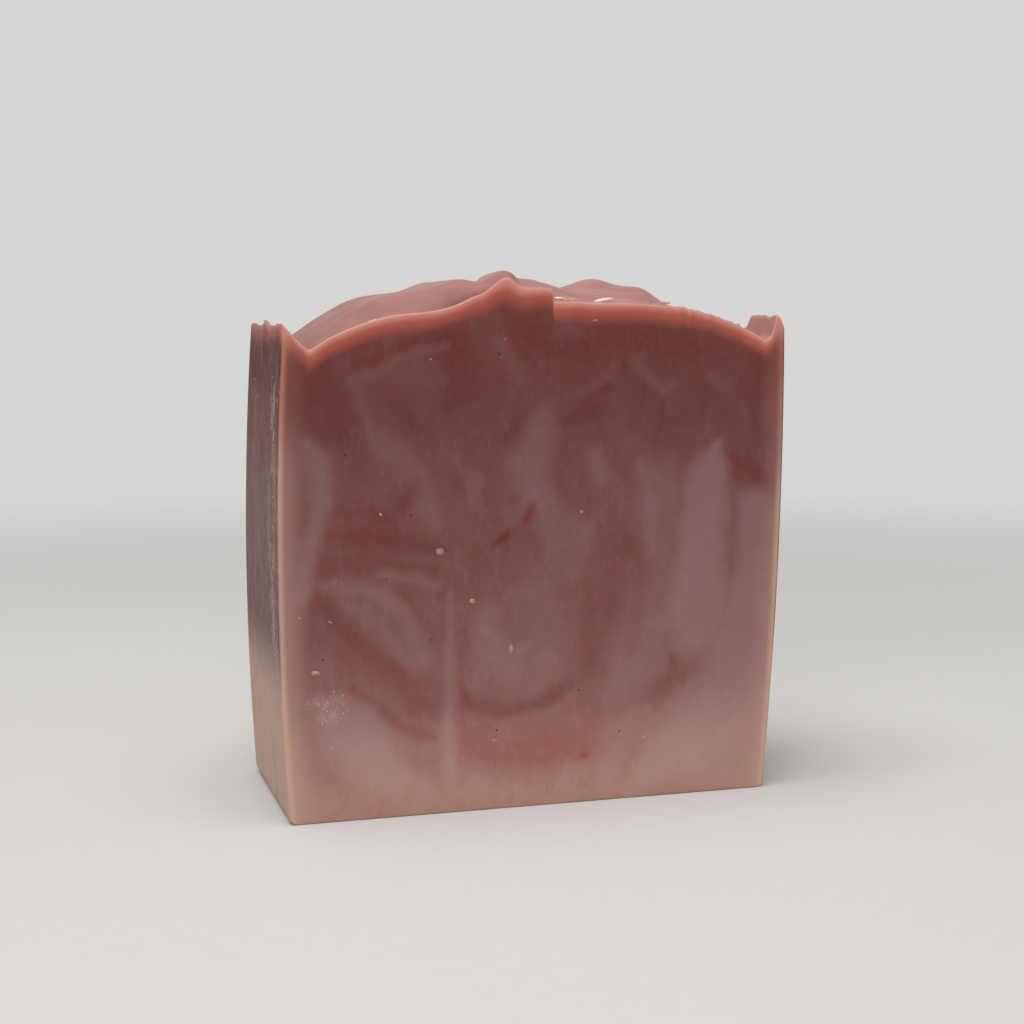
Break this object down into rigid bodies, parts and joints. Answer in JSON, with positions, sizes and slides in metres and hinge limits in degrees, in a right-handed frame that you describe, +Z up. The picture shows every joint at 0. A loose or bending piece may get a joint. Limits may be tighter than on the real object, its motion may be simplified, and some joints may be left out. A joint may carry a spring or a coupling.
{
  "type": "bar of soap",
  "caption": "Hand-cut bar of soap with bowed mould walls, two flat cut faces and a spooned, crested top between raised rims.",
  "frame": {"origin": "centre of the flat foot, midway between the mould walls and midway between the two cuts, at the foot", "axes": "+X runs across the mould from the low rim on the left to the high lip on the right, +Y from the front cut to the back cut, +Z up from the foot to the poured top"},
  "size_m": [0.0802, 0.0338, 0.082],
  "materials": {
    "soap": "satin, waxy, marbled dusty rose and lilac grey with brick-red swirls"
  },
  "bodies": {
    "root": {"soap_bar": "soap"}
  },
  "joints": []
}
